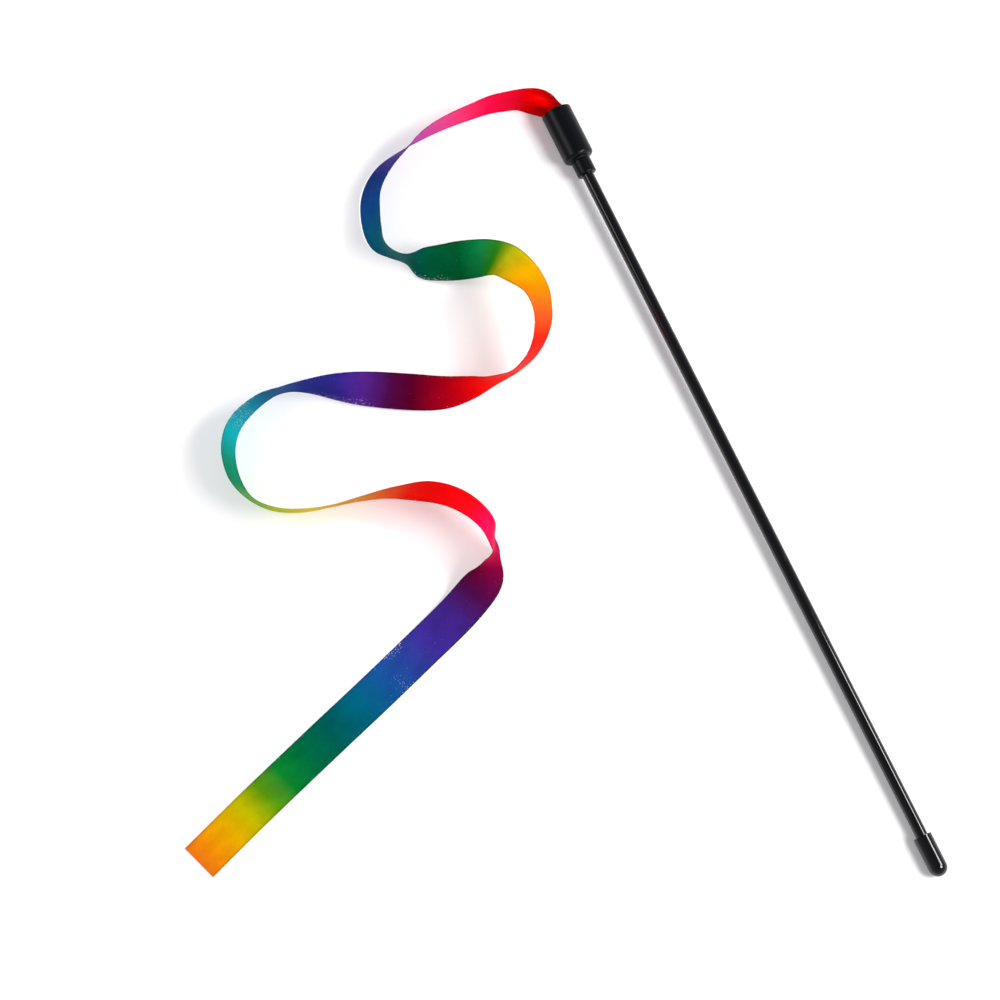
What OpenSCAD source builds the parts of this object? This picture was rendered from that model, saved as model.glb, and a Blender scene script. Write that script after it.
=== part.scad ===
// Rhythmic ribbon wand, lying on a flat surface with its ribbon laid out in loops beside it.
// +Y runs along the wand towards the head, +Z is up, and the ribbon lies on the -X side.
// The wand is drawn about its own axis first, with the head's mouth at y = 0, and then laid down.

/* [Rod] */
// Diameter of the rod
rod_d = 6.2; // [5:0.1:8]
// Distance from the head's mouth to the rounded end of the tip cap
wand_l = 436.5; // [300:0.5:600]

/* [Head] */
// Outside diameter of the head
head_d = 16; // [14:0.5:22]
// Length of the head
head_l = 28.5; // [26:0.5:40]
// Radius of the head's lower edge
head_fillet = 2; // [1:0.5:3]
// Inside diameter of the head's cup
cup_d = 12.4; // [11:0.2:13]
// Thickness of the head's floor
floor_t = 3; // [2.5:0.5:5]
// Gap all round between the rod and the bore that turns on it
running_gap = 0.08; // [0.02:0.01:0.1]

/* [Collar] */
// Outside diameter of the collar below the head
collar_d = 10.2; // [9:0.2:13]
// Length of the collar
collar_l = 8.4; // [6:0.2:14]
// Radius of the collar's edges
collar_fillet = 0.8; // [0.4:0.1:1.2]

/* [Tip cap] */
// Outside diameter of the tip cap
tip_d = 9.5; // [8.5:0.1:12]
// Length of the tip cap
tip_l = 21.5; // [16:0.5:40]
// Thickness of the tip cap's closed end
tip_wall = 4; // [2:0.5:6]

/* [Swivel] */
// Outside diameter of both washers
washer_d = 9.4; // [8:0.2:10]
// Thickness of both washers
washer_t = 0.5; // [0.3:0.1:0.8]
// Free play along the axis on each side of a washer
play = 0.15; // [0.1:0.05:0.3]
// Outside diameter of the retaining cap on the rod's end
retainer_d = 10; // [9:0.2:10.8]
// Length of the retaining cap
retainer_l = 6; // [4:0.5:8]

/* [Ribbon] */
// Width of the ribbon
ribbon_w = 20; // [15:1:25]
// Thickness of the ribbon
ribbon_t = 0.4; // [0.3:0.1:0.6]
// Width of the ribbon where it is gathered at the mouth
gathered_w = 12; // [10:0.5:14]
// Length over which it opens out to its full width
gather_l = 25; // [15:1:40]
// Diameter of the pin that holds the ribbon's sewn loop
pin_d = 2; // [1.5:0.1:2.5]
// Length of the plug that holds the pin
plug_l = 8; // [7:0.5:9]
// Depth of the plug's outer face below the mouth
plug_depth = 3.5; // [3:0.5:5]

/* [Hidden] */
$fn = 64;

// The head rests on the lower end of its straight side, and the tip cap on its ball end.
head_r = head_d / 2;
tip_r = tip_d / 2;
head_rest = head_l - head_fillet;
ball_centre = wand_l - tip_r;
span = ball_centre - head_rest;
reach = sqrt(span * span + head_r * head_r);
tilt = acos(tip_r / reach) - atan(span / head_r);
mouth_z = head_r * cos(tilt) + head_rest * sin(tilt);

// Places along the wand, measured from the mouth.
head_floor = -head_l + floor_t;
lower_washer_y = -head_l - play - washer_t;
collar_top = lower_washer_y - play;
upper_washer_y = head_floor + play;
retainer_y = upper_washer_y + washer_t + play;
retainer_top = 1.5;
rod_top = retainer_y + retainer_l - retainer_top;
tip_mouth = -wand_l + tip_l;
rod_bottom = -wand_l + tip_wall;
plug_top = -plug_depth;
plug_bottom = plug_top - plug_l;
pin_y = plug_bottom + 2.4;
slot_w = 11.2;
slot_t = 2.4;
tab_w = 10.6;
tab_end = -0.3;
loop_d = pin_d + 2 * ribbon_t;
eps = 0.5;

// The ribbon's centre line: x, y, z, and the roll of its width about its own direction.
// At roll 0 the ribbon lies flat, and at roll 90 or -90 it stands on its edge. y = 0 is the mouth.
ROUTE = [
    [-1.5, 2, 8, 142],             [-3, 5.5, 8, 134],             [-7, 9, 9, 119],
    [-15, 13, 10.5, 102],          [-28, 17, 10.5, 97],           [-40, 18, 10.5, 93],
    [-52, 18.5, 10.5, 90],         [-63, 18, 10.5, 86],           [-72, 16.5, 10.5, 80],
    [-79, 14.5, 10.3, 72],         [-94, 9.5, 9.5, 60],           [-105, 0.5, 9.5, 58],
    [-111, -12, 9.5, 60],          [-113, -23, 10, 69],           [-110.5, -32, 10.5, 90],
    [-104, -40, 10.8, 92],         [-97, -45.5, 10.5, 55],        [-87, -49.5, 9.8, 38],
    [-76.5, -53, 10, 14],          [-67, -58, 14.5, 2],           [-61, -65, 22, -5],
    [-57.5, -74.2, 28.5, -18],     [-55.1, -84.2, 32.5, -36],     [-54.7, -93.7, 35, -52],
    [-57.2, -103.7, 34, -63],      [-63.3, -112.3, 30, -76],      [-70.5, -117, 24, -90],
    [-79.5, -118.5, 17, -99],      [-91.5, -117, 12, -90],        [-103, -115, 9.8, -69],
    [-117, -111, 8, -48],          [-131, -104, 8, -38],          [-148, -94.5, 8.5, -42],
    [-161.5, -87.5, 11, -58],      [-177.5, -79.5, 11, -85],      [-190, -75.5, 10.6, -96],
    [-203, -75.5, 10.4, -88],      [-218, -81, 10.2, -80],        [-227, -91.5, 10, -75],
    [-230.5, -106, 10, -74],       [-228, -119, 10.2, -77],       [-219, -130, 10.2, -73],
    [-206, -137, 10.2, -72],       [-192, -141, 10.3, -74],       [-177.5, -144, 10.8, -70],
    [-161.1, -148.3, 11, -60],     [-147.2, -155, 14.5, -46],     [-136.6, -164.5, 18.5, -46],
    [-129.5, -175.6, 20.5, -52],   [-126.3, -186, 19, -62],       [-127.8, -194.4, 13.8, -85],
    [-131.3, -199.7, 10, -72],     [-137.5, -206.5, 6.5, -38],    [-147.5, -211.5, 3.1, -15],
    [-161, -217, 1, -4],           [-184, -225, 0.4, 0],          [-213, -235, 0.3, 0],
    [-246, -246, 0.3, 0],          [-290, -261, 0.3, 0],          [-326, -274, 0.3, 0]
];
steps = 3;

// Smooth curve through the route's points, and its direction.
last = len(ROUTE) - 1;
function point(i) = i < 0 ? 2 * ROUTE[0] - ROUTE[1]
    : i > last ? 2 * ROUTE[last] - ROUTE[last - 1]
    : ROUTE[i];
function curve(i, t) = 0.5 * (2 * point(i) + t * (point(i + 1) - point(i - 1))
    + t * t * (2 * point(i - 1) - 5 * point(i) + 4 * point(i + 1) - point(i + 2))
    + t * t * t * (3 * point(i) - point(i - 1) - 3 * point(i + 1) + point(i + 2)));
function slope(i, t) = 0.5 * (point(i + 1) - point(i - 1)
    + 2 * t * (2 * point(i - 1) - 5 * point(i) + 4 * point(i + 1) - point(i + 2))
    + 3 * t * t * (3 * point(i) - point(i - 1) - 3 * point(i + 1) + point(i + 2)));
function xyz(p) = [p[0], p[1], p[2]];
function unit(v) = v / norm(v);
stations = [for (i = [0:last - 1], k = [0:steps - 1]) [i, k / steps], [last - 1, 1]];
centres = [for (s = stations) curve(s[0], s[1])];
travel = [for (i = [0:len(centres) - 1])
    i == 0 ? 0 : norm(xyz(centres[i]) - xyz(centres[i - 1]))];
function run(i) = i == 0 ? 0 : run(i - 1) + travel[i];
function smooth(t) = t >= 1 ? 1 : t * t * (3 - 2 * t);
function width_at(i) = gathered_w
    + (ribbon_w - gathered_w) * smooth((i > 20 ? gather_l : run(i)) / gather_l);

// The four corners of the ribbon's section at a station.
function section(i) =
    let (along = unit(xyz(slope(stations[i][0], stations[i][1]))),
         left = unit(cross([0, 0, 1], along)),
         up = cross(along, left),
         roll = centres[i][3],
         across = left * cos(roll) + up * sin(roll),
         face = cross(along, across) * ribbon_t / 2,
         half = across * width_at(i) / 2,
         c = xyz(centres[i]))
    [c + half + face, c - half + face, c - half - face, c + half - face];

// The triangles between one section's corners, 0 to 3, and the next one's, 4 to 7. Both faces are cut
// along the same diagonal, so the strip keeps its thickness where it twists.
STRETCH = [[0, 1, 5], [0, 5, 4], [1, 2, 6], [1, 6, 5], [2, 3, 6], [3, 7, 6], [3, 0, 4], [3, 4, 7]];

// The whole object's box decides where the origin is.
sections = [for (i = [0:len(stations) - 1]) section(i)];
corners = [for (s = sections, p = s) p];
low_x = min([for (p = corners) p[0]]);
high_y = max([for (p = corners) p[1]]);
tip_end_y = -ball_centre * cos(tilt) - tip_r;
offset_x = -(low_x + head_r) / 2;
offset_y = -(high_y + tip_end_y) / 2;

// Puts what is drawn about the wand's axis, pointing up from the mouth at z = 0, into its place.
module laid_down() {
    translate([offset_x, offset_y, mouth_z]) rotate([tilt, 0, 0]) rotate([-90, 0, 0]) children();
}

// A ring or disc about the wand's axis, from one place along it to another.
module ring(outer, inner, from, to) {
    translate([0, 0, from]) difference() {
        cylinder(d = outer, h = to - from);
        if (inner > 0) translate([0, 0, -eps]) cylinder(d = inner, h = to - from + 2 * eps);
    }
}

module rod() {
    color("#161618") laid_down() ring(rod_d, 0, rod_bottom, rod_top);
}

// Soft cap with a ball end and a square-cut mouth, pushed on to the rod.
module tip_cap() {
    color("#0c0c0e") laid_down() difference() {
        union() {
            translate([0, 0, -ball_centre]) sphere(r = tip_r);
            translate([0, 0, -ball_centre]) cylinder(r = tip_r, h = tip_l - tip_r);
        }
        translate([0, 0, rod_bottom]) cylinder(d = rod_d, h = tip_l);
    }
}

// Fixed sleeve that carries the turning head. Both of its outer edges are rounded.
module collar() {
    outer = collar_d / 2;
    f = collar_fillet;
    color("#1a1a1d") laid_down() translate([0, 0, collar_top - collar_l]) rotate_extrude()
        difference() {
            translate([rod_d / 2, 0]) square([outer - rod_d / 2, collar_l]);
            for (end = [0, 1]) translate([outer - f, end * collar_l]) mirror([0, end]) difference() {
                translate([0, -eps]) square([f + eps, f + eps]);
                translate([0, f]) circle(r = f);
            }
        }
}

module lower_washer() {
    color("#1c1c1f") laid_down() ring(washer_d, rod_d, lower_washer_y, lower_washer_y + washer_t);
}

module upper_washer() {
    color("#1c1c1f") laid_down() ring(washer_d, rod_d, upper_washer_y, upper_washer_y + washer_t);
}

// Turning cup: its floor runs on the rod, and its mouth lets the ribbon out.
module head_shell() {
    bore = rod_d / 2 + running_gap;
    cup = cup_d / 2;
    lip = 0.5;
    color("#1a1a1d") laid_down() translate([0, 0, -head_l]) rotate_extrude() difference() {
        translate([bore, 0]) square([head_r - bore, head_l]);
        translate([0, floor_t]) square([cup, head_l]);
        translate([head_r - head_fillet, 0]) difference() {
            translate([0, -eps]) square([head_fillet + eps, head_fillet + eps]);
            translate([0, head_fillet]) circle(r = head_fillet);
        }
        translate([head_r - lip, head_l]) mirror([0, 1]) difference() {
            translate([0, -eps]) square([lip + eps, lip + eps]);
            translate([0, lip]) circle(r = lip);
        }
    }
}

// Blind cap pressed on the rod's end, so that the head can't pull off.
module retainer() {
    color("#b9bcc0") laid_down() difference() {
        translate([0, 0, retainer_y]) cylinder(d = retainer_d, h = retainer_l);
        translate([0, 0, retainer_y - eps]) cylinder(d = rod_d, h = rod_top - retainer_y + eps);
    }
}

// Plug pressed into the cup, with a slot for the ribbon and a cross hole for its pin.
module ribbon_plug() {
    color("#26262a") laid_down() difference() {
        translate([0, 0, plug_bottom]) cylinder(d = cup_d, h = plug_l);
        translate([-slot_w / 2, -slot_t / 2, pin_y]) cube([slot_w, slot_t, plug_l]);
        translate([-slot_w / 2, 0, pin_y]) rotate([0, 90, 0]) cylinder(d = slot_t + 1, h = slot_w);
        translate([-cup_d, 0, pin_y]) rotate([0, 90, 0]) cylinder(d = pin_d, h = 2 * cup_d);
    }
}

module ribbon_pin() {
    pin_l = cup_d - 0.4;
    color("#c4c7cb") laid_down() translate([-pin_l / 2, 0, pin_y]) rotate([0, 90, 0])
        cylinder(d = pin_d, h = pin_l);
}

// The ribbon's own end: a sewn loop round the pin and a flat tongue out to the mouth.
module ribbon_tab() {
    color("#d40a12") laid_down() difference() {
        union() {
            translate([-tab_w / 2, 0, pin_y]) rotate([0, 90, 0]) cylinder(d = loop_d, h = tab_w);
            translate([-tab_w / 2, -ribbon_t, pin_y]) cube([tab_w, 2 * ribbon_t, tab_end - pin_y]);
        }
        translate([-tab_w, 0, pin_y]) rotate([0, 90, 0]) cylinder(d = pin_d, h = 2 * tab_w);
    }
}

// The free ribbon, one strip swept along its route from just outside the mouth.
module ribbon() {
    n = len(sections);
    sides = [for (i = [0:n - 2], t = STRETCH) [for (v = t) 4 * i + v]];
    far = 4 * n - 4;
    ends = [[2, 1, 0], [3, 2, 0], [far, far + 1, far + 2], [far, far + 2, far + 3]];
    color("#1f8f5a") translate([offset_x, offset_y, 0])
        polyhedron(points = corners, faces = concat(sides, ends), convexity = 10);
}

rod();
tip_cap();
collar();
lower_washer();
head_shell();
upper_washer();
retainer();
ribbon_plug();
ribbon_pin();
ribbon_tab();
ribbon();
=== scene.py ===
"""A rhythmic ribbon wand lying on a table: a glossy black rod with a turning head at its end, and a rainbow
satin ribbon laid out in loose bends beside it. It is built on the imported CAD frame, in metres."""

import math

import bpy
import numpy as np
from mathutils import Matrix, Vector


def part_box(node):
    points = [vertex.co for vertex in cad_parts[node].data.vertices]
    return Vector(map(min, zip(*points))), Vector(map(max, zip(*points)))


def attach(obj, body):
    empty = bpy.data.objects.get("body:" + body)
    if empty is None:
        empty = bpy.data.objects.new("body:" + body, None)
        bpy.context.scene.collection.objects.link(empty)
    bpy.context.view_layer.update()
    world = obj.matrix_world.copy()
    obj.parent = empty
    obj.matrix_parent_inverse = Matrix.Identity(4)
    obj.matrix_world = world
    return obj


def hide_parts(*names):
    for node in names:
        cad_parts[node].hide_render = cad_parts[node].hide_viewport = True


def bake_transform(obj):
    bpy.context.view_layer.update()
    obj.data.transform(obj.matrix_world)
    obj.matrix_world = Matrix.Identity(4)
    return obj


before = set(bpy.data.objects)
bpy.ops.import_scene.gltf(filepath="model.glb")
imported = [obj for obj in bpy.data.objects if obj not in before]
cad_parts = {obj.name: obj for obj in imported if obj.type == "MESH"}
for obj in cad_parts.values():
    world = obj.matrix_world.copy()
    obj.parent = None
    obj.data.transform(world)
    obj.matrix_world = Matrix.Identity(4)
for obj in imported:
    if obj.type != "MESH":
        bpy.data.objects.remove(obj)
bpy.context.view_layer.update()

# ---------------------------------------------------------------------------------------------------------
# Places, all worked out from the frame. The route's own origin is the middle of the head's mouth.
# ---------------------------------------------------------------------------------------------------------
head_low, head_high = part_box("head_shell")
pin_low, pin_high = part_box("ribbon_pin")
mouth = Vector(((head_low.x + head_high.x) / 2, head_high.y, 0.0))
pin_middle = (pin_low + pin_high) / 2

# ---------------------------------------------------------------------------------------------------------
# Camera: nearly straight down, a little from the tip's side, with the wand slanting across the frame.
# ---------------------------------------------------------------------------------------------------------
CAMERA_AZIMUTH = math.radians(-25.43)
CAMERA_ELEVATION = math.radians(77.0)
CAMERA_DISTANCE = 1.509
CAMERA_ANGLE = math.radians(19.0)
camera_target = mouth + Vector((-0.11387, -0.17224, 0.0))


def from_target(azimuth, elevation, distance):
    """The point at that distance from the camera's target, with azimuth 0 on the -Y side."""
    level = math.cos(elevation)
    way = Vector((math.sin(azimuth) * level, -math.cos(azimuth) * level, math.sin(elevation)))
    return camera_target + way * distance


def make_camera():
    """The camera, looking at its target."""
    camera = bpy.data.objects.new("camera", bpy.data.cameras.new("camera"))
    bpy.context.scene.collection.objects.link(camera)
    camera.data.lens_unit = "FOV"
    camera.data.angle = CAMERA_ANGLE
    camera.data.clip_start = 0.05
    camera.data.clip_end = 20.0
    camera.location = from_target(CAMERA_AZIMUTH, CAMERA_ELEVATION, CAMERA_DISTANCE)
    camera.rotation_euler = (camera_target - camera.location).to_track_quat("-Z", "Y").to_euler()
    bpy.context.scene.camera = camera


# ---------------------------------------------------------------------------------------------------------
# Small tools for node materials
# ---------------------------------------------------------------------------------------------------------
def linear(hex_colour):
    """A linear RGBA colour from an sRGB one written as six hex digits."""
    parts = [int(hex_colour[i:i + 2], 16) / 255 for i in (0, 2, 4)]
    return [p / 12.92 if p <= 0.04045 else ((p + 0.055) / 1.055) ** 2.4 for p in parts] + [1.0]


class Shader:
    """A material's node tree, with short calls for the nodes that the materials here use."""

    def __init__(self, name):
        self.material = bpy.data.materials.new(name)
        self.material.use_nodes = True
        self.nodes = self.material.node_tree.nodes
        self.links = self.material.node_tree.links
        self.surface = self.nodes["Principled BSDF"]

    def settings(self, **values):
        """Sets plain values on the shader's own sockets; an underscore stands for a space."""
        for name, value in values.items():
            self.surface.inputs[name.replace("_", " ")].default_value = value

    def join(self, value, socket):
        """Links a node's output to a socket, or sets the socket where value is a plain one."""
        if isinstance(value, bpy.types.NodeSocket):
            self.links.new(value, socket)
        elif value is not None:
            socket.default_value = value

    def node(self, kind, output=0, settings=None, **inputs):
        """A new node with its settings and inputs; an underscore in an input's name stands for a space."""
        made = self.nodes.new(kind)
        for name, value in (settings or {}).items():
            setattr(made, name, value)
        for name, value in inputs.items():
            self.join(value, made.inputs[name.replace("_", " ")])
        return made.outputs[output]

    def maths(self, operation, first, second=None):
        """The operation done on one value or two."""
        made = self.nodes.new("ShaderNodeMath")
        made.operation = operation
        for value, socket in zip((first, second), made.inputs):
            self.join(value, socket)
        return made.outputs[0]

    def place(self, scale=(1.0, 1.0, 1.0)):
        """The object's own coordinates, stretched by scale."""
        made = self.nodes.new("ShaderNodeTexCoord")
        return self.node("ShaderNodeMapping", Vector=made.outputs["Object"], Scale=scale)

    def noise(self, where, scale, detail=3.0, roughness=0.55):
        """Noise from about 0.3 to 0.7, whose lumps are 1 / scale across."""
        return self.node("ShaderNodeTexNoise", Vector=where, Scale=scale, Detail=detail,
                         Roughness=roughness)

    def spread(self, value, low, high, to_low=0.0, to_high=1.0):
        """value's stretch from low to high, moved to the stretch from to_low to to_high and held there."""
        made = self.nodes.new("ShaderNodeMapRange")
        for socket, number in zip(made.inputs, (value, low, high, to_low, to_high)):
            self.join(number, socket)
        return made.outputs[0]

    def blend(self, share, first, second):
        """Two colours mixed: the first where share is 0, and the second where it is 1."""
        made = self.nodes.new("ShaderNodeMix")
        made.data_type = "RGBA"
        self.join(share, made.inputs["Factor"])
        self.join(first, made.inputs[6])
        self.join(second, made.inputs[7])
        return made.outputs[2]

    def ramp(self, value, stops):
        """A colour for each value: stops are (place from 0 to 1, hex colour)."""
        made = self.nodes.new("ShaderNodeValToRGB")
        self.join(value, made.inputs[0])
        band = made.color_ramp
        while len(band.elements) > 1:
            band.elements.remove(band.elements[0])
        band.elements[0].position = stops[0][0]
        band.elements[0].color = linear(stops[0][1])
        for place, colour in stops[1:]:
            band.elements.new(place).color = linear(colour)
        return made.outputs[0]

    def bump(self, height, strength, distance, normal=None):
        """A normal bent by height, over the one given."""
        return self.node("ShaderNodeBump", Height=height, Strength=strength, Distance=distance,
                         Normal=normal)

    def finish(self, colour=None, roughness=None, normal=None):
        """Joins what varies over the surface to the shader, and gives back the material."""
        self.join(colour, self.surface.inputs["Base Color"])
        self.join(roughness, self.surface.inputs["Roughness"])
        self.join(normal, self.surface.inputs["Normal"])
        return self.material


# ---------------------------------------------------------------------------------------------------------
# Materials of the hard parts. The wand lies along Y, so stretching a noise along Y makes lengthwise marks.
# ---------------------------------------------------------------------------------------------------------
def gloss_lacquer():
    """The rod's black lacquer over drawn fibreglass: faint lengthwise draw lines, scuffs and dust."""
    s = Shader("gloss_lacquer")
    lines = s.noise(s.place(scale=(1.0, 0.02, 1.0)), 2600.0, 2.0)
    waves = s.noise(s.place(scale=(1.0, 0.12, 1.0)), 190.0, 2.0)
    specks = s.noise(s.place(), 1500.0, 4.0)
    scuffs = s.spread(s.noise(s.place(scale=(1.0, 0.2, 1.0)), 420.0, 5.0, 0.7), 0.56, 0.74)
    colour = s.blend(s.spread(specks, 0.66, 0.78, 0.0, 0.35), linear("030308"), linear("24252b"))
    roughness = s.maths("ADD", s.spread(waves, 0.3, 0.7, 0.06, 0.1), s.maths("MULTIPLY", scuffs, 0.16))
    normal = s.bump(lines, 0.12, 0.00004, s.bump(waves, 0.3, 0.00012))
    s.settings(IOR=1.52, Specular_IOR_Level=0.4)
    return s.finish(colour, roughness, normal)


def moulded_plastic(name, base, worn, rough_low, rough_high):
    """Moulded black plastic: a fine spark-eroded grain, slight sink waves, and rubbed lighter patches."""
    s = Shader(name)
    grain = s.noise(s.place(), 3800.0, 3.0, 0.6)
    waves = s.noise(s.place(), 230.0, 2.0)
    rubbed = s.spread(s.noise(s.place(scale=(1.0, 0.35, 1.0)), 330.0, 5.0, 0.65), 0.55, 0.75)
    colour = s.blend(s.maths("MULTIPLY", rubbed, 0.6), linear(base), linear(worn))
    roughness = s.maths("SUBTRACT", s.spread(grain, 0.3, 0.7, rough_low, rough_high),
                        s.maths("MULTIPLY", rubbed, 0.07))
    normal = s.bump(grain, 0.18, 0.00004, s.bump(waves, 0.25, 0.00015))
    s.settings(IOR=1.5, Specular_IOR_Level=0.16)
    return s.finish(colour, roughness, normal)


def dipped_vinyl():
    """The tip cap's dip-moulded vinyl: wet-looking, softly uneven, with a little dust on it."""
    s = Shader("dipped_vinyl")
    waves = s.noise(s.place(), 260.0, 2.0)
    dust = s.spread(s.noise(s.place(), 2100.0, 5.0, 0.75), 0.66, 0.8)
    colour = s.blend(s.maths("MULTIPLY", dust, 0.5), linear("030304"), linear("2c2c30"))
    roughness = s.maths("ADD", s.spread(waves, 0.3, 0.7, 0.07, 0.13), s.maths("MULTIPLY", dust, 0.3))
    s.settings(IOR=1.53, Specular_IOR_Level=0.4)
    return s.finish(colour, roughness, s.bump(waves, 0.35, 0.0002))


def nylon():
    """The washers' black nylon: waxy, with turning marks."""
    s = Shader("nylon")
    marks = s.noise(s.place(scale=(0.2, 1.0, 0.2)), 2400.0, 2.0)
    cloud = s.noise(s.place(), 420.0, 3.0)
    colour = s.blend(s.spread(cloud, 0.3, 0.7), linear("0b0b0c"), linear("1b1b1d"))
    s.settings(IOR=1.53)
    return s.finish(colour, s.spread(cloud, 0.3, 0.7, 0.38, 0.52), s.bump(marks, 0.2, 0.00005))


def turned_steel(name):
    """Bright steel with turning marks round it and a few fine scratches."""
    s = Shader(name)
    marks = s.noise(s.place(scale=(0.08, 1.0, 0.08)), 5200.0, 2.0)
    tarnish = s.noise(s.place(), 380.0, 4.0)
    colour = s.blend(s.spread(tarnish, 0.35, 0.7), linear("c3c6ca"), linear("96989c"))
    s.settings(Metallic=1.0)
    return s.finish(colour, s.spread(tarnish, 0.3, 0.7, 0.22, 0.4), s.bump(marks, 0.25, 0.00003))


def sewing_thread():
    """Twisted red polyester thread."""
    s = Shader("sewing_thread")
    twist = s.node("ShaderNodeTexWave", 1, settings={"bands_direction": "DIAGONAL"}, Vector=s.place(),
                   Scale=2600.0, Distortion=1.5)
    colour = s.blend(s.spread(twist, 0.2, 0.8), linear("8a0410"), linear("d8202a"))
    s.settings(Sheen_Weight=0.3)
    return s.finish(colour, s.spread(twist, 0.2, 0.8, 0.6, 0.45), s.bump(twist, 0.5, 0.00006))


# ---------------------------------------------------------------------------------------------------------
# The ribbon's satin. Its dye runs through the rainbow and repeats about every 0.29 m along the ribbon.
# Each stop's colour is partly the dye and partly painted light and shade: lighter where that stretch faces
# the light, darker where it faces away.
# ---------------------------------------------------------------------------------------------------------
RIBBON_WIDTH = 0.020
DYE_AND_PAINTED_LIGHT = [
    [(-0.012, "d00000"), (0.014, "e20000"), (0.036, "ff0046"), (0.060, "dc3e82"), (0.074, "b03c94"),
     (0.088, "4c2f92"), (0.104, "10307e"), (0.120, "0a4a92"), (0.135, "005a7a"), (0.150, "005e60"),
     (0.172, "005230"), (0.186, "004c24"), (0.197, "0a7d3c"), (0.206, "2c9010"), (0.214, "c0c010"),
     (0.226, "e8b000"), (0.240, "ff8400"), (0.255, "ff501a"), (0.267, "ff1000"), (0.295, "f20c00")],
    [(0.295, "f20c00"), (0.312, "e00000"), (0.328, "a80016"), (0.345, "580022"), (0.356, "4a0a40"),
     (0.370, "50208a"), (0.383, "33258f"), (0.402, "1e2f8c"), (0.420, "065c84"), (0.445, "009ba4"),
     (0.460, "007d64"), (0.474, "00784a"), (0.490, "6ea010"), (0.501, "bec800"), (0.516, "f0c800"),
     (0.530, "f2a000"), (0.543, "f08000"), (0.555, "f04a00"), (0.566, "ec0c00"), (0.580, "e80000")],
    [(0.580, "e80000"), (0.600, "f80010"), (0.612, "ff004a"), (0.622, "c80040"), (0.636, "70002c"),
     (0.652, "480a44"), (0.667, "3c2080"), (0.684, "3c2a94"), (0.698, "283c96"), (0.712, "14509a"),
     (0.732, "00627c"), (0.751, "005a50"), (0.768, "006c3c"), (0.783, "0a822a"), (0.796, "5c9a08"),
     (0.808, "bcb400"), (0.820, "e0a800"), (0.834, "f08c08"), (0.848, "ea5a1e")],
]


def dye_and_painted_light(s, length):
    """The dye's colour at that length along the ribbon, with the painted light and shade that its stops
    hold.
    """
    colour = None
    for stops in DYE_AND_PAINTED_LIGHT:
        start, end = stops[0][0], stops[-1][0]
        places = [((at - start) / (end - start), shade) for at, shade in stops]
        stretch = s.ramp(s.spread(length, start, end), places)
        if colour is None:
            colour = stretch
        else:
            colour = s.blend(s.maths("GREATER_THAN", length, start), colour, stretch)
    return colour


# Painted highlights, places where the satin is shown as catching the light: from and to along the ribbon,
# and from and to across it.
PAINTED_HIGHLIGHTS = [(0.148, 0.186, -0.0100, -0.0070), (0.360, 0.402, 0.0060, 0.0100),
           (0.424, 0.448, -0.0100, 0.0100), (0.688, 0.712, -0.0100, -0.0060),
           (0.700, 0.716, 0.0000, 0.0100)]
PAINTED_HIGHLIGHT_FADE = 0.008
PAINTED_HIGHLIGHT_SIDE_FADE = 0.001


def painted_highlight_share(s, across, length):
    """How much the place lies under a painted highlight patch, from 0 to 1."""
    total = None
    for start, end, low, high in PAINTED_HIGHLIGHTS:
        along = s.maths("MULTIPLY", s.spread(length, start, start + PAINTED_HIGHLIGHT_FADE),
                        s.spread(length, end - PAINTED_HIGHLIGHT_FADE, end, 1.0, 0.0))
        over = s.maths("MULTIPLY", s.spread(across, low - PAINTED_HIGHLIGHT_SIDE_FADE, low + PAINTED_HIGHLIGHT_SIDE_FADE),
                       s.spread(across, high - PAINTED_HIGHLIGHT_SIDE_FADE, high + PAINTED_HIGHLIGHT_SIDE_FADE, 1.0, 0.0))
        mask = s.maths("MULTIPLY", along, over)
        total = mask if total is None else s.maths("MAXIMUM", total, mask)
    return total


# Sizes of the weave's marks and of the painted glint specks, across the ribbon and along it.
FLOAT_SIZE = (0.00022, 0.0022)
PICK_SIZE = (0.004, 0.00026)
CLOUD_SIZE = (0.009, 0.016)
PAINTED_GLINT_SIZE = (0.0006, 0.0009)


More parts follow.
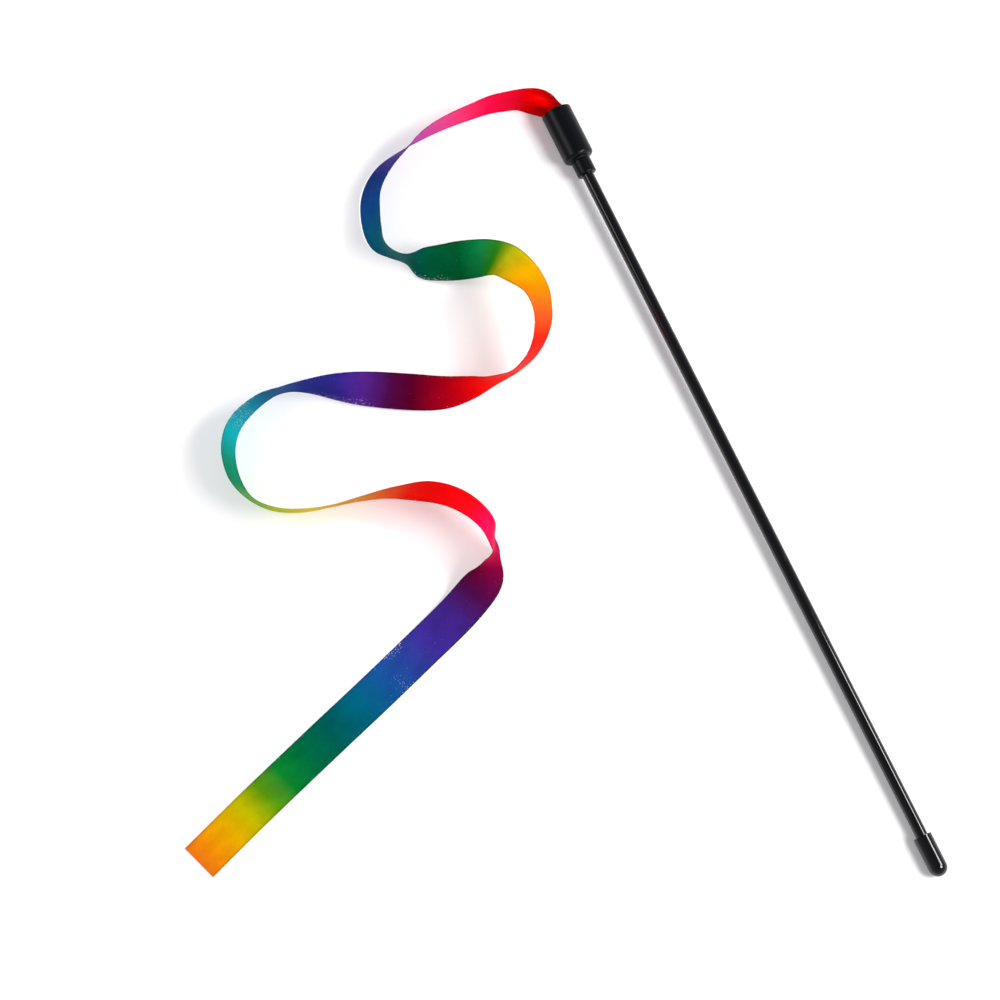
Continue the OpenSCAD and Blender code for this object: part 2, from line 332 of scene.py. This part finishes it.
def satin():
    """Woven satin: long floats along the ribbon, fine picks across it, a tighter selvedge, and painted
    highlights: whitish glint specks mixed into the colour.
    """
    s = Shader("satin")
    uv = s.nodes.new("ShaderNodeTexCoord").outputs["UV"]
    parts = s.nodes.new("ShaderNodeSeparateXYZ")
    s.join(uv, parts.inputs[0])
    across, length = parts.outputs[0], parts.outputs[1]
    to_edge = s.maths("SUBTRACT", RIBBON_WIDTH / 2, s.maths("ABSOLUTE", across))
    selvedge = s.spread(to_edge, 0.0007, 0.0013, 1.0, 0.0)

    def woven(size, detail):
        """Noise with marks of that size across and along the ribbon."""
        where = s.node("ShaderNodeMapping", Vector=uv, Scale=(1 / size[0], 1 / size[1], 1.0))
        return s.noise(where, 1.0, detail)

    floats = woven(FLOAT_SIZE, 2.0)
    picks = woven(PICK_SIZE, 2.0)
    cloud = woven(CLOUD_SIZE, 3.0)
    weave = s.maths("ADD", s.maths("MULTIPLY", floats, 0.6), s.maths("MULTIPLY", picks, 0.4))
    # Painted highlights: whitish glint specks, denser in the listed patches and towards both edges.
    painted_catch = s.maths("MULTIPLY", painted_highlight_share(s, across, length), 0.11)
    painted_sparkle = s.maths("ADD", woven(PAINTED_GLINT_SIZE, 4.0), painted_catch)
    painted_edge_sparkle = s.spread(to_edge, 0.0, 0.0016, 0.10, 0.0)
    painted_glints = s.spread(s.maths("ADD", painted_sparkle, painted_edge_sparkle), 0.69, 0.78)
    # The dye, with painted light and shade in its stops.
    colour = dye_and_painted_light(s, length)
    colour = s.blend(s.spread(cloud, 0.3, 0.7, 0.0, 0.20), colour, linear("000000"))
    colour = s.blend(s.spread(weave, 0.35, 0.65, 0.12, 0.0), colour, linear("000000"))
    colour = s.blend(s.maths("MULTIPLY", selvedge, 0.22), colour, linear("000000"))
    # Painted highlights: the colour is mixed towards near-white at the glint specks.
    colour = s.blend(s.maths("MULTIPLY", painted_glints, 0.45), colour, linear("e8e8f4"))
    roughness = s.maths("ADD", s.spread(weave, 0.3, 0.7, 0.34, 0.46), s.maths("MULTIPLY", selvedge, 0.12))
    normal = s.bump(weave, 0.35, 0.00006, s.bump(cloud, 0.2, 0.0003))
    tangent = s.node("ShaderNodeTangent", settings={"direction_type": "UV_MAP", "uv_map": "UVMap"})
    s.join(tangent, s.surface.inputs["Tangent"])
    s.settings(IOR=1.48, Specular_IOR_Level=0.008, Anisotropic=0.6,
               Subsurface_Weight=0.4, Subsurface_Scale=0.0012, Subsurface_Radius=(1.0, 1.0, 1.0))
    return s.finish(colour, roughness, normal)


# ---------------------------------------------------------------------------------------------------------
# The ribbon's route: x, y and z in metres from the mouth, and the roll of its width about its direction in
# degrees. At roll 0 it lies flat, and at roll 90 it stands on its edge. LEAD is the stretch in the cup.
# ---------------------------------------------------------------------------------------------------------
LEAD = [(0.0, -0.007, 0.0081, 178), (0.0, -0.003, 0.0082, 166)]
ROUTE = [
    (-0.0015, 0.0020, 0.0080, 142), (-0.0030, 0.0055, 0.0080, 134), (-0.0070, 0.0090, 0.0090, 119),
    (-0.0150, 0.0130, 0.0105, 102), (-0.0280, 0.0170, 0.0105, 97), (-0.0400, 0.0180, 0.0105, 93),
    (-0.0520, 0.0185, 0.0105, 90), (-0.0630, 0.0180, 0.0105, 86), (-0.0720, 0.0165, 0.0105, 80),
    (-0.0790, 0.0145, 0.0103, 72), (-0.0940, 0.0095, 0.0095, 60), (-0.1050, 0.0005, 0.0095, 58),
    (-0.1110, -0.0120, 0.0095, 60), (-0.1130, -0.0230, 0.0100, 69), (-0.1105, -0.0320, 0.0105, 90),
    (-0.1040, -0.0400, 0.0108, 92), (-0.0970, -0.0455, 0.0105, 55), (-0.0870, -0.0495, 0.0098, 38),
    (-0.0765, -0.0530, 0.0100, 14), (-0.0670, -0.0580, 0.0145, 2), (-0.0610, -0.0650, 0.0220, -5),
    (-0.0575, -0.0742, 0.0285, -18), (-0.0551, -0.0842, 0.0325, -36), (-0.0547, -0.0937, 0.0350, -52),
    (-0.0572, -0.1037, 0.0340, -63), (-0.0633, -0.1123, 0.0300, -76), (-0.0705, -0.1170, 0.0240, -90),
    (-0.0795, -0.1185, 0.0170, -99), (-0.0915, -0.1170, 0.0120, -90), (-0.1030, -0.1150, 0.0098, -69),
    (-0.1170, -0.1110, 0.0080, -48), (-0.1310, -0.1040, 0.0080, -38), (-0.1480, -0.0945, 0.0085, -42),
    (-0.1615, -0.0875, 0.0110, -58), (-0.1775, -0.0795, 0.0110, -85), (-0.1900, -0.0755, 0.0106, -96),
    (-0.2030, -0.0755, 0.0104, -88), (-0.2180, -0.0810, 0.0102, -80), (-0.2270, -0.0915, 0.0100, -75),
    (-0.2305, -0.1060, 0.0100, -74), (-0.2280, -0.1190, 0.0102, -77), (-0.2190, -0.1300, 0.0102, -73),
    (-0.2060, -0.1370, 0.0102, -72), (-0.1920, -0.1410, 0.0103, -74), (-0.1775, -0.1440, 0.0108, -70),
    (-0.1611, -0.1483, 0.0110, -60), (-0.1472, -0.1550, 0.0145, -46), (-0.1366, -0.1645, 0.0185, -46),
    (-0.1295, -0.1756, 0.0205, -52), (-0.1263, -0.1860, 0.0190, -62), (-0.1278, -0.1944, 0.0138, -85),
    (-0.1313, -0.1997, 0.0100, -72), (-0.1375, -0.2065, 0.0065, -38), (-0.1475, -0.2115, 0.0031, -15),
    (-0.1610, -0.2170, 0.0010, -4), (-0.1840, -0.2250, 0.0004, 0), (-0.2130, -0.2350, 0.0003, 0),
    (-0.2460, -0.2460, 0.0003, 0), (-0.2900, -0.2610, 0.0003, 0), (-0.3260, -0.2740, 0.0003, 0),
]
RIBBON_THICKNESS = 0.0003
SELVEDGE_THICKNESS = 0.00042
SELVEDGE_WIDTH = 0.0009
CURL = 0.5
CURL_LENGTH = 0.030
PLEAT = 1.5
PLEAT_FROM = -0.004
PLEAT_LENGTH = 0.026
STEPS_PER_POINT = 40
STEP = 0.001
ACROSS = 24


def catmull_rom(points, steps):
    """Points on the smooth curve through the given ones."""
    p = np.vstack([2 * points[0] - points[1], points, 2 * points[-1] - points[-2]])
    places = []
    for i in range(len(points) - 1):
        a, b, c, d = p[i:i + 4]
        t = (np.arange(steps + (i == len(points) - 2)) / steps)[:, None]
        places.append(0.5 * (2 * b + t * (c - a) + t**2 * (2 * a - 5 * b + 4 * c - d)
                             + t**3 * (3 * b - a - 3 * c + d)))
    return np.vstack(places)


def smooth(t):
    """0 up to t = 0, 1 from t = 1 on, and an S-shaped rise between."""
    t = np.clip(t, 0.0, 1.0)
    return t * t * (3 - 2 * t)


def unit(v):
    """The vectors with their lengths made 1."""
    return v / np.linalg.norm(v, axis=-1, keepdims=True)


def lengths(points):
    """How far along a line of points each one is."""
    return np.concatenate([[0.0], np.cumsum(np.linalg.norm(np.diff(points, axis=0), axis=1))])


def section(curl, pleat):
    """The middle line of the ribbon's section, sideways and facewards: curl is the angle that each half
    bends by, and pleat the steepness of the gathers. The line keeps the ribbon's whole width."""
    share = (np.arange(ACROSS) + 0.5) / ACROSS
    angle = curl * (2 * share - 1) + pleat * np.sin(4 * math.pi * share)
    step = RIBBON_WIDTH / ACROSS
    sideways = np.concatenate([[0.0], np.cumsum(np.cos(angle))]) * step
    facewards = np.concatenate([[0.0], np.cumsum(np.sin(angle))]) * step
    return sideways - sideways[-1] / 2, facewards - facewards.mean()


def ribbon_surface():
    """The ribbon's middle surface as a grid of points, each row a section, and each row's length from the
    mouth."""
    coarse = catmull_rom(np.array(LEAD + ROUTE, float), STEPS_PER_POINT)
    slopes = np.gradient(coarse[:, :3], axis=0)
    run = lengths(coarse[:, :3])
    at_mouth = run[STEPS_PER_POINT * len(LEAD)]
    rows = int(round(run[-1] / STEP))
    wanted = np.linspace(0.0, run[-1], rows + 1)
    line = np.stack([np.interp(wanted, run, coarse[:, k]) for k in range(4)], 1)
    along = unit(np.stack([np.interp(wanted, run, slopes[:, k]) for k in range(3)], 1))
    left = unit(np.cross([0.0, 0.0, 1.0], along))
    up = np.cross(along, left)
    roll = np.radians(line[:, 3])[:, None]
    across = left * np.cos(roll) + up * np.sin(roll)
    face = np.cross(along, across)
    length = wanted - at_mouth
    curl = CURL * (1 - smooth(length / CURL_LENGTH))
    pleat = PLEAT * (1 - smooth((length - PLEAT_FROM) / PLEAT_LENGTH))
    grid = np.zeros((rows + 1, ACROSS + 1, 3))
    for j in range(rows + 1):
        sideways, facewards = section(curl[j], pleat[j])
        grid[j] = line[j, :3] + across[j] * sideways[:, None] + face[j] * facewards[:, None]
    return grid + np.array(mouth), length


def mesh_object(name, points, faces, uvs=None, sharp=None):
    """A smooth-shaded mesh. uvs holds one pair per point, and sharp the pairs whose edges stay crisp."""
    mesh = bpy.data.meshes.new(name)
    mesh.from_pydata([tuple(p) for p in points], [], [tuple(f) for f in faces])
    mesh.polygons.foreach_set("use_smooth", [True] * len(mesh.polygons))
    if uvs is not None:
        corners = np.zeros(len(mesh.loops), int)
        mesh.loops.foreach_get("vertex_index", corners)
        mesh.uv_layers.new(name="UVMap").data.foreach_set("uv", np.asarray(uvs, float)[corners].ravel())
    if sharp is not None:
        crisp = mesh.attributes.new("sharp_edge", "BOOLEAN", "EDGE")
        wanted = {tuple(sorted(pair)) for pair in sharp}
        crisp.data.foreach_set("value", [tuple(sorted(e.vertices)) in wanted for e in mesh.edges])
    mesh.validate()
    made = bpy.data.objects.new(name, mesh)
    bpy.context.scene.collection.objects.link(made)
    return made


def ribbon_mesh(name, grid, length):
    """A closed strip of the ribbon's thickness about its middle surface, thicker along both selvedges."""
    rows, columns = grid.shape[:2]
    down = np.gradient(grid, axis=0)
    over = np.gradient(grid, axis=1)
    normal = unit(np.cross(down, over))
    offset = (np.arange(columns) / (columns - 1) - 0.5) * RIBBON_WIDTH
    edge = smooth(1 - (RIBBON_WIDTH / 2 - abs(offset)) / SELVEDGE_WIDTH)
    half = (RIBBON_THICKNESS + (SELVEDGE_THICKNESS - RIBBON_THICKNESS) * edge)[None, :, None] / 2
    points = np.concatenate([(grid + normal * half).reshape(-1, 3), (grid - normal * half).reshape(-1, 3)])
    index = np.arange(rows * columns).reshape(rows, columns)
    under = index + rows * columns
    faces = []

    def strip(a, b):
        """Faces between two lines of points, running the same way."""
        faces.extend(zip(a[:-1], a[1:], b[1:], b[:-1]))

    for i in range(columns - 1):
        strip(index[:, i], index[:, i + 1])
        strip(under[:, i + 1], under[:, i])
    strip(under[:, 0], index[:, 0])
    strip(index[:, -1], under[:, -1])
    strip(index[0], under[0])
    strip(under[-1], index[-1])
    uvs = np.stack(np.broadcast_arrays(offset[None, :], length[:, None]), -1).reshape(-1, 2)
    rims = [line for side in (index, under) for line in (side[:, 0], side[:, -1], side[0], side[-1])]
    sharp = [(line[i], line[i + 1]) for line in rims for i in range(len(line) - 1)]
    return mesh_object(name, points, faces, np.vstack([uvs, uvs]), sharp)


# ---------------------------------------------------------------------------------------------------------
# Scene
# ---------------------------------------------------------------------------------------------------------
# Each light's azimuth from the camera's and its elevation in degrees, its distance and its size in metres.
KEY = (78, 47, 1.6, 0.56)
FILL = (-105, 38, 1.6, 0.70)
RIM = (106, 41, 1.38, 0.32)
KEY_WATTS = 10.0
KEY_THROUGH_WATTS = 12.5
FILL_WATTS = 6.0
RIM_WATTS = 7.0
SKY_AT_HORIZON = 0.66
SKY_OVERHEAD = 0.22
SKY_COLOUR = (0.96, 0.945, 1.0, 1.0)
FLOOR_GLOW = 0.08
FLOOR_CORNERS = [(-3, -3, 0), (3, -3, 0), (3, 3, 0), (-3, 3, 0)]


def area_light(name, place, watts):
    """A square soft light, looking at the camera's target."""
    azimuth, elevation, distance, size = place
    light = bpy.data.lights.new(name, "AREA")
    light.size = size
    light.energy = watts
    made = bpy.data.objects.new(name, light)
    bpy.context.scene.collection.objects.link(made)
    made.location = from_target(CAMERA_AZIMUTH + math.radians(azimuth), math.radians(elevation), distance)
    made.rotation_euler = (camera_target - made.location).to_track_quat("-Z", "Y").to_euler()
    return made


def make_world():
    """Soft light from all round, dimmer overhead than near the horizon."""
    world = bpy.data.worlds.new("studio")
    bpy.context.scene.world = world
    world.use_nodes = True
    nodes, links = world.node_tree.nodes, world.node_tree.links
    parts = nodes.new("ShaderNodeSeparateXYZ")
    links.new(nodes.new("ShaderNodeTexCoord").outputs["Generated"], parts.inputs[0])
    level = nodes.new("ShaderNodeMapRange")
    links.new(parts.outputs[2], level.inputs[0])
    level.inputs["To Min"].default_value = SKY_AT_HORIZON
    level.inputs["To Max"].default_value = SKY_OVERHEAD
    background = nodes["Background"]
    background.inputs[0].default_value = SKY_COLOUR
    links.new(level.outputs[0], background.inputs[1])


def make_stage():
    """A pale floor under the object, soft light from all round, and three soft lights."""
    s = Shader("floor")
    paper = s.noise(s.place(), 9.0, 4.0)
    floor = mesh_object("floor", FLOOR_CORNERS, [(0, 1, 2, 3)])
    s.settings(Emission_Color=linear("ffffff"), Emission_Strength=FLOOR_GLOW)
    floor.data.materials.append(s.finish(s.blend(paper, linear("f4f4f5"), linear("f7f7f7")), 0.9))
    make_world()
    area_light("key", KEY, KEY_WATTS)
    area_light("fill", FILL, FILL_WATTS)
    area_light("rim", RIM, RIM_WATTS)
    bpy.context.scene.view_settings.view_transform = "Standard"


def light_through(ribbon):
    """The part of the key light that the thin satin lets through, so that its shadows stay pale."""
    thin = bpy.data.collections.new("thin_pieces")
    thin.objects.link(ribbon)
    thin.collection_objects[0].light_linking.link_state = "EXCLUDE"
    light = area_light("key_through", KEY, KEY_THROUGH_WATTS)
    light.light_linking.blocker_collection = thin


def finish_cad_nodes():
    """Gives the CAD nodes that stay in view their materials."""
    plastic = moulded_plastic("moulded_plastic", "05060b", "14151c", 0.26, 0.38)
    finishes = {
        "rod": gloss_lacquer(),
        "tip_cap": dipped_vinyl(),
        "collar": plastic,
        "head_shell": plastic,
        "lower_washer": nylon(),
        "upper_washer": nylon(),
        "retainer": turned_steel("turned_steel"),
        "ribbon_plug": moulded_plastic("plug_plastic", "18181b", "3a3a40", 0.42, 0.58),
        "ribbon_pin": turned_steel("pin_steel"),
    }
    for node, material in finishes.items():
        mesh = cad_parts[node].data
        mesh.materials.clear()
        mesh.materials.append(material)


LOOP_WIDTH = 0.0106
LOOP_RADIUS = 0.00125
LOOP_OPENING = math.radians(22)
LOOP_TURN_POINTS = 40
LAYER_POINTS = 12
HALF_GAP = 0.00018
LOOP_END = -0.0066
STITCH_PITCH = 0.0011
STITCH_SHARE = 0.84
STITCH_POINTS = 7
STITCH_FROM_END = 0.0006
STITCH_LOW = 0.00028
STITCH_RISE = 0.00022
THREAD_RADIUS = 0.00011


def make_loop(cloth):
    """The ribbon's sewn end: a loop round the pin, whose two layers come together as a tongue."""
    reach = mouth.y + LOOP_END - pin_middle.y
    turn = np.linspace(LOOP_OPENING, math.tau - LOOP_OPENING, LOOP_TURN_POINTS)
    layer = np.linspace(1.0, 0.0, LAYER_POINTS)[:-1]
    near = LOOP_RADIUS * math.cos(LOOP_OPENING)
    side = LOOP_RADIUS * math.sin(LOOP_OPENING)
    y = np.concatenate([near + (reach - near) * layer, LOOP_RADIUS * np.cos(turn),
                        near + (reach - near) * layer[::-1]])
    rise = side + (HALF_GAP - side) * smooth(layer)
    z = np.concatenate([rise, LOOP_RADIUS * np.sin(turn), -rise[::-1]])
    x = np.linspace(-LOOP_WIDTH / 2, LOOP_WIDTH / 2, ACROSS + 1)
    grid = np.zeros((len(y), len(x), 3))
    grid[..., 0] = pin_middle.x + x
    grid[..., 1] = (pin_middle.y + y)[:, None]
    grid[..., 2] = (pin_middle.z + z)[:, None]
    run = lengths(grid[:, 0])
    loop = ribbon_mesh("sewn_loop", grid, run - run[-1] + LOOP_END)
    loop.data.materials.append(cloth)
    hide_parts("ribbon_tab")
    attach(loop, "head")


def make_stitches():
    """A row of lockstitch across the tongue, one bent length of thread for each stitch."""
    y = mouth.y + LOOP_END - STITCH_FROM_END
    count = int(LOOP_WIDTH / STITCH_PITCH) - 1
    first = pin_middle.x - STITCH_PITCH * (count - 1) / 2
    curve = bpy.data.curves.new("loop_stitches", "CURVE")
    curve.dimensions = "3D"
    curve.bevel_depth = THREAD_RADIUS
    curve.bevel_resolution = 3
    for i in range(count):
        for side in (1, -1):
            spline = curve.splines.new("POLY")
            spline.points.add(STITCH_POINTS - 1)
            for k, point in enumerate(spline.points):
                share = k / (STITCH_POINTS - 1) - 0.5
                rise = STITCH_LOW + STITCH_RISE * math.cos(math.pi * share)
                x = first + STITCH_PITCH * (i + STITCH_SHARE * share)
                point.co = (x, y, pin_middle.z + side * rise, 1.0)
    stitches = bpy.data.objects.new("loop_stitches", curve)
    bpy.context.scene.collection.objects.link(stitches)
    curve.materials.append(sewing_thread())
    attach(stitches, "head")


def make_ribbon(cloth):
    """The ribbon in one piece, from inside the cup to its cut end."""
    grid, length = ribbon_surface()
    ribbon = ribbon_mesh("satin_ribbon", grid, length)
    ribbon.data.materials.append(cloth)
    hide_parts("ribbon")
    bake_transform(ribbon)
    return ribbon


make_camera()
make_stage()
finish_cad_nodes()
satin_cloth = satin()
light_through(make_ribbon(satin_cloth))
make_loop(satin_cloth)
make_stitches()
